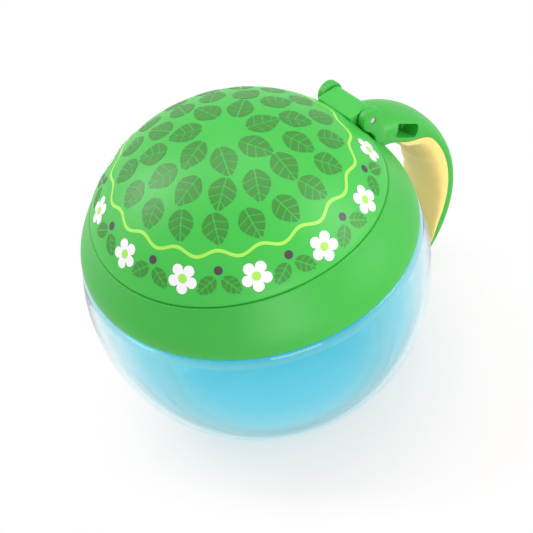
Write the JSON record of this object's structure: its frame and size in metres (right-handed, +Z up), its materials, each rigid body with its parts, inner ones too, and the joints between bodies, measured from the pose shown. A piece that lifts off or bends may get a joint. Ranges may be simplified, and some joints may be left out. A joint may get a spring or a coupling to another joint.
{
  "type": "toddler snack container",
  "caption": "Round toddler snack cup: clear bowl, screw-on collar with a slit soft membrane, hinged dome lid and a side handle with a soft grip.",
  "frame": {"origin": "on the bowl's axis, in the plane that the flat base rests on", "axes": "+Z up along the bowl's axis, +Y towards the hinge and the handle, +X to the right seen from the front"},
  "size_m": [0.0936, 0.1138, 0.0841],
  "materials": {
    "bowl_clear_blue": "glossy, see-through",
    "collar_green": "satin moulded",
    "handle_green": "satin moulded",
    "lid_green": "satin moulded, printed",
    "grip_yellow": "soft matte",
    "membrane_clear": "soft, milky",
    "seal_white": "soft matte",
    "retainer_white": "satin",
    "pin_steel": "turned"
  },
  "bodies": {
    "bowl": {"bowl": "bowl_clear_blue"},
    "seal": {"bowl_seal": "seal_white"},
    "collar": {"collar": "collar_green", "handle_arm": "handle_green", "handle_grip": "grip_yellow", "membrane_ring": "membrane_clear", "membrane_retainer": "retainer_white", "hinge_pin": "pin_steel"},
    "lid": {"lid_shell": "lid_green", "lid_seal": "seal_white"},
    "flap_1_body": {"flap_1": "membrane_clear"},
    "flap_2_body": {"flap_2": "membrane_clear"},
    "flap_3_body": {"flap_3": "membrane_clear"},
    "flap_4_body": {"flap_4": "membrane_clear"},
    "flap_5_body": {"flap_5": "membrane_clear"},
    "flap_6_body": {"flap_6": "membrane_clear"},
    "flap_7_body": {"flap_7": "membrane_clear"},
    "flap_8_body": {"flap_8": "membrane_clear"}
  },
  "joints": [
    {"name": "seal_lift", "type": "slide", "parent": "bowl", "child": "seal", "axis": [0, 0, 1], "range_m": [0, 0.002]},
    {"name": "collar_twist", "type": "hinge", "parent": "seal", "child": "collar", "pos_m": [0, 0, 0.0536], "axis": [0, 0, 1], "range_deg": [0, 60]},
    {"name": "lid_hinge", "type": "hinge", "parent": "collar", "child": "lid", "pos_m": [0, 0.03825, 0.0659], "axis": [-1, 0, 0], "range_deg": [0, 160]},
    {"name": "flap_1_bend", "type": "hinge", "parent": "collar", "child": "flap_1_body", "pos_m": [0.03003, 0, 0.05445], "axis": [0, 1, 0], "range_deg": [-75, 45], "stiffness_Nm_per_rad": 0.004},
    {"name": "flap_2_bend", "type": "hinge", "parent": "collar", "child": "flap_2_body", "pos_m": [0.02123, 0.02123, 0.05445], "axis": [-0.7071, 0.7071, 0], "range_deg": [-75, 45], "stiffness_Nm_per_rad": 0.004},
    {"name": "flap_3_bend", "type": "hinge", "parent": "collar", "child": "flap_3_body", "pos_m": [0, 0.03003, 0.05445], "axis": [-1, 0, 0], "range_deg": [-75, 45], "stiffness_Nm_per_rad": 0.004},
    {"name": "flap_4_bend", "type": "hinge", "parent": "collar", "child": "flap_4_body", "pos_m": [-0.02123, 0.02123, 0.05445], "axis": [-0.7071, -0.7071, 0], "range_deg": [-75, 45], "stiffness_Nm_per_rad": 0.004},
    {"name": "flap_5_bend", "type": "hinge", "parent": "collar", "child": "flap_5_body", "pos_m": [-0.03003, 0, 0.05445], "axis": [0, -1, 0], "range_deg": [-75, 45], "stiffness_Nm_per_rad": 0.004},
    {"name": "flap_6_bend", "type": "hinge", "parent": "collar", "child": "flap_6_body", "pos_m": [-0.02123, -0.02123, 0.05445], "axis": [0.7071, -0.7071, 0], "range_deg": [-75, 45], "stiffness_Nm_per_rad": 0.004},
    {"name": "flap_7_bend", "type": "hinge", "parent": "collar", "child": "flap_7_body", "pos_m": [0, -0.03003, 0.05445], "axis": [1, 0, 0], "range_deg": [-75, 45], "stiffness_Nm_per_rad": 0.004},
    {"name": "flap_8_bend", "type": "hinge", "parent": "collar", "child": "flap_8_body", "pos_m": [0.02123, -0.02123, 0.05445], "axis": [0.7071, 0.7071, 0], "range_deg": [-75, 45], "stiffness_Nm_per_rad": 0.004}
  ],
  "couplings": [
    {"joint": "seal_lift", "follows": "collar_twist", "m_per_rad": 0.0019099}
  ]
}
